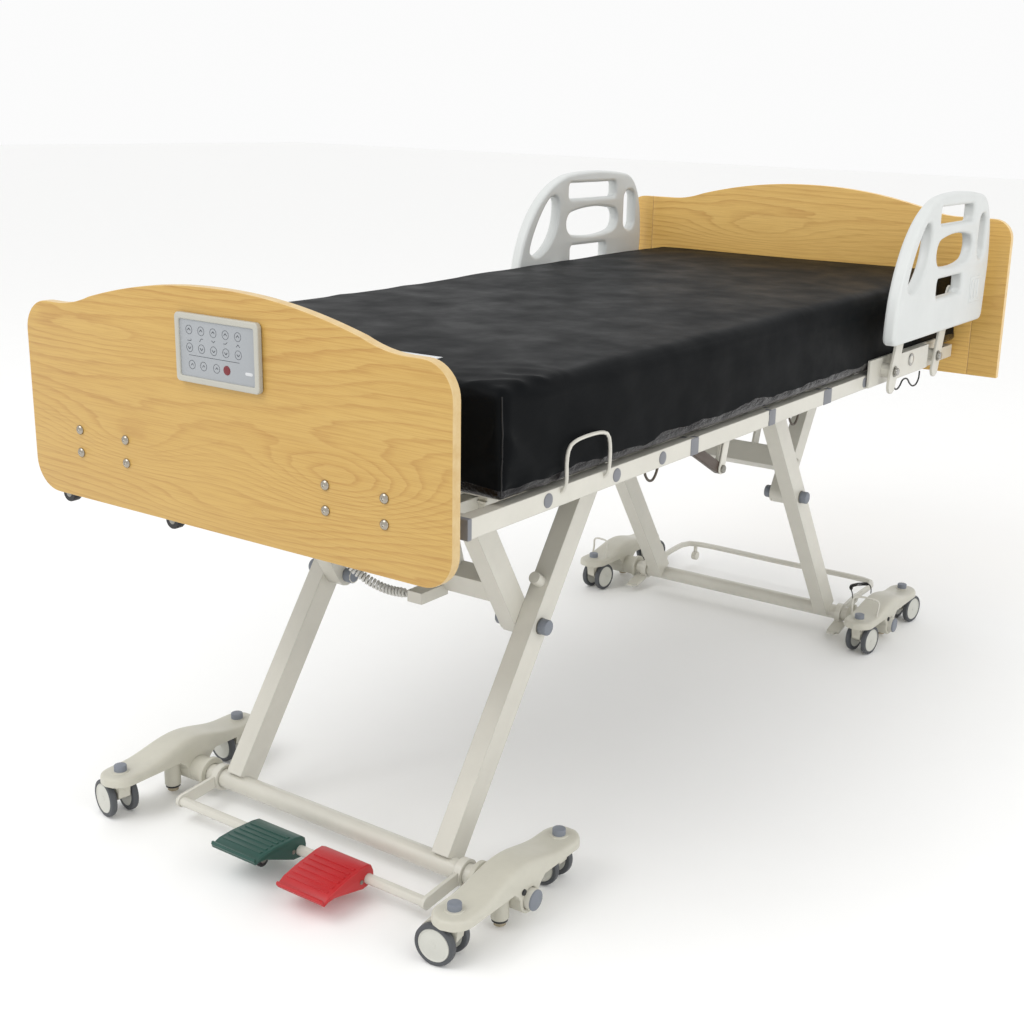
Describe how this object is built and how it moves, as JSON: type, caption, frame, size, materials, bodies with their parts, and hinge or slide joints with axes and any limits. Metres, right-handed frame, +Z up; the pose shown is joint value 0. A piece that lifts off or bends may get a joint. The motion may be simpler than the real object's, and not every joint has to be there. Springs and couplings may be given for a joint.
{
  "type": "adjustable hospital bed",
  "caption": "Height-adjustable care bed: hinged mattress deck on two scissor lifts, oak-look end boards, swing-down assist rails, swivel casters and floor-lock pedals.",
  "frame": {"origin": "centre of the bounding box, on the floor under the casters", "axes": "+X to the right seen from the foot end, +Y towards the head end, +Z up"},
  "size_m": [1.146, 2.21, 1.1806],
  "materials": {
    "cream_paint": "satin powder coat",
    "oak_laminate": "satin laminate",
    "black_cover": "coated cloth, slight sheen",
    "white_moulding": "satin moulding",
    "grey_panel": "membrane",
    "dark_rubber": "matt",
    "bright_steel": "satin",
    "green_plastic": "satin",
    "red_plastic": "satin",
    "beige_rubber": "matt",
    "white_cable": "matt",
    "black_cord": "matt"
  },
  "bodies": {
    "deck": {"deck_frame": "cream_paint", "footboard": "oak_laminate", "headboard_centre": "oak_laminate", "headboard_wing_right": "oak_laminate", "headboard_wing_left": "oak_laminate", "control_panel": "grey_panel", "mattress_seat": "black_cover", "coil_cable": "white_cable"},
    "back": {"back_section": "cream_paint", "mattress_back": "black_cover", "assist_mount_right": "cream_paint", "assist_mount_left": "cream_paint", "release_cord": "black_cord"},
    "thigh": {"thigh_section": "cream_paint", "mattress_thigh": "black_cover"},
    "calf": {"calf_section": "cream_paint", "mattress_calf": "black_cover"},
    "brace_foot": {"brace_frame_foot": "cream_paint"},
    "leg_foot": {"leg_frame_foot": "cream_paint"},
    "base_foot": {"pod_foot_right": "cream_paint", "pod_foot_left": "cream_paint"},
    "actuator_foot": {"lift_actuator_foot": "white_moulding"},
    "rod_foot": {"lift_rod_foot": "bright_steel"},
    "brace_head": {"brace_frame_head": "cream_paint"},
    "leg_head": {"leg_frame_head": "cream_paint"},
    "base_head": {"pod_head_right": "cream_paint", "pod_head_left": "cream_paint", "lanyard": "black_cord"},
    "actuator_head": {"lift_actuator_head": "white_moulding"},
    "rod_head": {"lift_rod_head": "bright_steel"},
    "pedal_bar": {"pedal_bar": "cream_paint", "pedal_green": "green_plastic", "pedal_red": "red_plastic"},
    "brake_bar": {"brake_bar": "cream_paint"},
    "plunger_foot_right": {"plunger_foot_right": "beige_rubber"},
    "plunger_foot_left": {"plunger_foot_left": "beige_rubber"},
    "plunger_head_right": {"plunger_head_right": "beige_rubber"},
    "plunger_head_left": {"plunger_head_left": "beige_rubber"},
    "caster_foot_right_outer": {"caster_fork_foot_right_outer": "white_moulding"},
    "wheels_foot_right_outer": {"caster_wheels_foot_right_outer": "dark_rubber"},
    "caster_foot_right_inner": {"caster_fork_foot_right_inner": "white_moulding"},
    "wheels_foot_right_inner": {"caster_wheels_foot_right_inner": "dark_rubber"},
    "caster_foot_left_outer": {"caster_fork_foot_left_outer": "white_moulding"},
    "wheels_foot_left_outer": {"caster_wheels_foot_left_outer": "dark_rubber"},
    "caster_foot_left_inner": {"caster_fork_foot_left_inner": "white_moulding"},
    "wheels_foot_left_inner": {"caster_wheels_foot_left_inner": "dark_rubber"},
    "caster_head_right_inner": {"caster_fork_head_right_inner": "white_moulding"},
    "wheels_head_right_inner": {"caster_wheels_head_right_inner": "dark_rubber"},
    "caster_head_right_outer": {"caster_fork_head_right_outer": "white_moulding"},
    "wheels_head_right_outer": {"caster_wheels_head_right_outer": "dark_rubber"},
    "caster_head_left_inner": {"caster_fork_head_left_inner": "white_moulding"},
    "wheels_head_left_inner": {"caster_wheels_head_left_inner": "dark_rubber"},
    "caster_head_left_outer": {"caster_fork_head_left_outer": "white_moulding"},
    "wheels_head_left_outer": {"caster_wheels_head_left_outer": "dark_rubber"},
    "assist_arm_front_right": {"assist_arm_front_right": "cream_paint"},
    "assist_arm_rear_right": {"assist_arm_rear_right": "cream_paint"},
    "assist_panel_right": {"assist_panel_right": "white_moulding"},
    "assist_arm_front_left": {"assist_arm_front_left": "cream_paint"},
    "assist_arm_rear_left": {"assist_arm_rear_left": "cream_paint"},
    "assist_panel_left": {"assist_panel_left": "white_moulding"}
  },
  "joints": [
    {"name": "back_raise", "type": "hinge", "parent": "deck", "child": "back", "pos_m": [0, 0.25, 0.755], "axis": [1, 0, 0], "range_deg": [0, 60], "deforming": ["mattress_back", "mattress_seat"]},
    {"name": "knee_raise", "type": "hinge", "parent": "deck", "child": "thigh", "pos_m": [0, -0.027, 0.755], "axis": [-1, 0, 0], "range_deg": [0, 30], "deforming": ["mattress_thigh"]},
    {"name": "calf_follow", "type": "hinge", "parent": "thigh", "child": "calf", "pos_m": [0, -0.355, 0.755], "axis": [1, 0, 0], "range_deg": [0, 44.1], "deforming": ["mattress_calf"]},
    {"name": "lift_foot", "type": "hinge", "parent": "deck", "child": "brace_foot", "pos_m": [0, -0.74943, 0.704], "axis": [1, 0, 0], "range_deg": [0, 38.5]},
    {"name": "leg_pivot_foot", "type": "hinge", "parent": "brace_foot", "child": "leg_foot", "pos_m": [0, -0.58621, 0.428], "axis": [1, 0, 0], "range_deg": [-74, 0]},
    {"name": "base_pivot_foot", "type": "hinge", "parent": "leg_foot", "child": "base_foot", "pos_m": [0, -0.846, 0.05], "axis": [1, 0, 0], "range_deg": [0, 36]},
    {"name": "actuator_pivot_foot", "type": "hinge", "parent": "brace_foot", "child": "actuator_foot", "pos_m": [0.1, -0.66728, 0.62403], "axis": [1, 0, 0], "range_deg": [-47.5, 0]},
    {"name": "actuator_rod_foot", "type": "slide", "parent": "actuator_foot", "child": "rod_foot", "axis": [0, 0.9822, 0.188], "range_m": [-0.044, 0]},
    {"name": "lift_head", "type": "hinge", "parent": "deck", "child": "brace_head", "pos_m": [0, 0.71643, 0.704], "axis": [-1, 0, 0], "range_deg": [0, 38.5]},
    {"name": "leg_pivot_head", "type": "hinge", "parent": "brace_head", "child": "leg_head", "pos_m": [0, 0.55321, 0.428], "axis": [-1, 0, 0], "range_deg": [-74, 0]},
    {"name": "base_pivot_head", "type": "hinge", "parent": "leg_head", "child": "base_head", "pos_m": [0, 0.813, 0.05], "axis": [-1, 0, 0], "range_deg": [0, 36]},
    {"name": "actuator_pivot_head", "type": "hinge", "parent": "brace_head", "child": "actuator_head", "pos_m": [0.14, 0.63428, 0.62403], "axis": [-1, 0, 0], "range_deg": [-47.5, 0]},
    {"name": "actuator_rod_head", "type": "slide", "parent": "actuator_head", "child": "rod_head", "axis": [0, -0.9822, 0.188], "range_m": [-0.044, 0]},
    {"name": "pedal_press", "type": "hinge", "parent": "base_foot", "child": "pedal_bar", "pos_m": [0, -0.846, 0.05], "axis": [1, 0, 0], "range_deg": [-8, 8]},
    {"name": "brake_press", "type": "hinge", "parent": "base_head", "child": "brake_bar", "pos_m": [0, 0.813, 0.05], "axis": [1, 0, 0], "range_deg": [-4, 8]},
    {"name": "plunger_foot_right_travel", "type": "slide", "parent": "base_foot", "child": "plunger_foot_right", "axis": [0, 0, 1], "range_m": [-0.0055, 0.0055]},
    {"name": "plunger_foot_left_travel", "type": "slide", "parent": "base_foot", "child": "plunger_foot_left", "axis": [0, 0, 1], "range_m": [-0.0055, 0.0055]},
    {"name": "plunger_head_right_travel", "type": "slide", "parent": "base_head", "child": "plunger_head_right", "axis": [0, 0, 1], "range_m": [-0.0055, 0.0055]},
    {"name": "plunger_head_left_travel", "type": "slide", "parent": "base_head", "child": "plunger_head_left", "axis": [0, 0, 1], "range_m": [-0.0055, 0.0055]},
    {"name": "swivel_foot_right_outer", "type": "hinge", "parent": "base_foot", "child": "caster_foot_right_outer", "pos_m": [0.409, -1.008, 0.078], "axis": [0, 0, 1], "continuous": true},
    {"name": "spin_foot_right_outer", "type": "hinge", "parent": "caster_foot_right_outer", "child": "wheels_foot_right_outer", "pos_m": [0.38617, -1.0108, 0.0375], "axis": [0.1219, -0.9925, 0], "continuous": true},
    {"name": "swivel_foot_right_inner", "type": "hinge", "parent": "base_foot", "child": "caster_foot_right_inner", "pos_m": [0.409, -0.706, 0.078], "axis": [0, 0, 1], "continuous": true},
    {"name": "spin_foot_right_inner", "type": "hinge", "parent": "caster_foot_right_inner", "child": "wheels_foot_right_inner", "pos_m": [0.386, -0.706, 0.0375], "axis": [0, -1, 0], "continuous": true},
    {"name": "swivel_foot_left_outer", "type": "hinge", "parent": "base_foot", "child": "caster_foot_left_outer", "pos_m": [-0.409, -1.008, 0.078], "axis": [0, 0, 1], "continuous": true},
    {"name": "spin_foot_left_outer", "type": "hinge", "parent": "caster_foot_left_outer", "child": "wheels_foot_left_outer", "pos_m": [-0.43141, -1.00283, 0.0375], "axis": [-0.225, -0.9744, 0], "continuous": true},
    {"name": "swivel_foot_left_inner", "type": "hinge", "parent": "base_foot", "child": "caster_foot_left_inner", "pos_m": [-0.409, -0.706, 0.078], "axis": [0, 0, 1], "continuous": true},
    {"name": "spin_foot_left_inner", "type": "hinge", "parent": "caster_foot_left_inner", "child": "wheels_foot_left_inner", "pos_m": [-0.43187, -0.7036, 0.0375], "axis": [-0.1045, -0.9945, 0], "continuous": true},
    {"name": "swivel_head_right_inner", "type": "hinge", "parent": "base_head", "child": "caster_head_right_inner", "pos_m": [0.409, 0.682, 0.078], "axis": [0, 0, 1], "continuous": true},
    {"name": "spin_head_right_inner", "type": "hinge", "parent": "caster_head_right_inner", "child": "wheels_head_right_inner", "pos_m": [0.4122, 0.70478, 0.0375], "axis": [-0.9903, 0.1392, 0], "continuous": true},
    {"name": "swivel_head_right_outer", "type": "hinge", "parent": "base_head", "child": "caster_head_right_outer", "pos_m": [0.409, 0.984, 0.078], "axis": [0, 0, 1], "continuous": true},
    {"name": "spin_head_right_outer", "type": "hinge", "parent": "caster_head_right_outer", "child": "wheels_head_right_outer", "pos_m": [0.41299, 1.00665, 0.0375], "axis": [-0.9848, 0.1736, 0], "continuous": true},
    {"name": "swivel_head_left_inner", "type": "hinge", "parent": "base_head", "child": "caster_head_left_inner", "pos_m": [-0.409, 0.682, 0.078], "axis": [0, 0, 1], "continuous": true},
    {"name": "spin_head_left_inner", "type": "hinge", "parent": "caster_head_left_inner", "child": "wheels_head_left_inner", "pos_m": [-0.4066, 0.70487, 0.0375], "axis": [-0.9945, 0.1045, 0], "continuous": true},
    {"name": "swivel_head_left_outer", "type": "hinge", "parent": "base_head", "child": "caster_head_left_outer", "pos_m": [-0.409, 0.984, 0.078], "axis": [0, 0, 1], "continuous": true},
    {"name": "spin_head_left_outer", "type": "hinge", "parent": "caster_head_left_outer", "child": "wheels_head_left_outer", "pos_m": [-0.40501, 1.00665, 0.0375], "axis": [-0.9848, 0.1736, 0], "continuous": true},
    {"name": "assist_swing_right", "type": "hinge", "parent": "back", "child": "assist_arm_front_right", "pos_m": [0, 0.545, 0.774], "axis": [1, 0, 0], "range_deg": [0, 133]},
    {"name": "assist_rear_right", "type": "hinge", "parent": "back", "child": "assist_arm_rear_right", "pos_m": [0, 0.837, 0.774], "axis": [1, 0, 0], "range_deg": [0, 133]},
    {"name": "assist_level_right", "type": "hinge", "parent": "assist_arm_front_right", "child": "assist_panel_right", "pos_m": [0, 0.594, 0.924], "axis": [1, 0, 0], "range_deg": [-133, 0]},
    {"name": "assist_swing_left", "type": "hinge", "parent": "back", "child": "assist_arm_front_left", "pos_m": [0, 0.545, 0.774], "axis": [1, 0, 0], "range_deg": [0, 133]},
    {"name": "assist_rear_left", "type": "hinge", "parent": "back", "child": "assist_arm_rear_left", "pos_m": [0, 0.837, 0.774], "axis": [1, 0, 0], "range_deg": [0, 133]},
    {"name": "assist_level_left", "type": "hinge", "parent": "assist_arm_front_left", "child": "assist_panel_left", "pos_m": [0, 0.594, 0.924], "axis": [1, 0, 0], "range_deg": [-133, 0]}
  ],
  "couplings": [
    {"joint": "calf_follow", "follows": "knee_raise", "ratio": 1.4667},
    {"joint": "leg_pivot_foot", "follows": "lift_foot", "ratio": -1.92},
    {"joint": "base_pivot_foot", "follows": "lift_foot", "ratio": 0.92},
    {"joint": "actuator_pivot_foot", "follows": "lift_foot", "ratio": -1.22},
    {"joint": "actuator_rod_foot", "follows": "lift_foot", "m_per_rad": -0.0638},
    {"joint": "leg_pivot_head", "follows": "lift_head", "ratio": -1.92},
    {"joint": "base_pivot_head", "follows": "lift_head", "ratio": 0.92},
    {"joint": "actuator_pivot_head", "follows": "lift_head", "ratio": -1.22},
    {"joint": "actuator_rod_head", "follows": "lift_head", "m_per_rad": -0.0638},
    {"joint": "plunger_foot_right_travel", "follows": "pedal_press", "m_per_rad": -0.039},
    {"joint": "plunger_foot_left_travel", "follows": "pedal_press", "m_per_rad": -0.039},
    {"joint": "plunger_head_right_travel", "follows": "brake_press", "m_per_rad": -0.039},
    {"joint": "plunger_head_left_travel", "follows": "brake_press", "m_per_rad": -0.039},
    {"joint": "assist_rear_right", "follows": "assist_swing_right", "ratio": 1},
    {"joint": "assist_level_right", "follows": "assist_swing_right", "ratio": -1},
    {"joint": "assist_rear_left", "follows": "assist_swing_left", "ratio": 1},
    {"joint": "assist_level_left", "follows": "assist_swing_left", "ratio": -1}
  ]
}
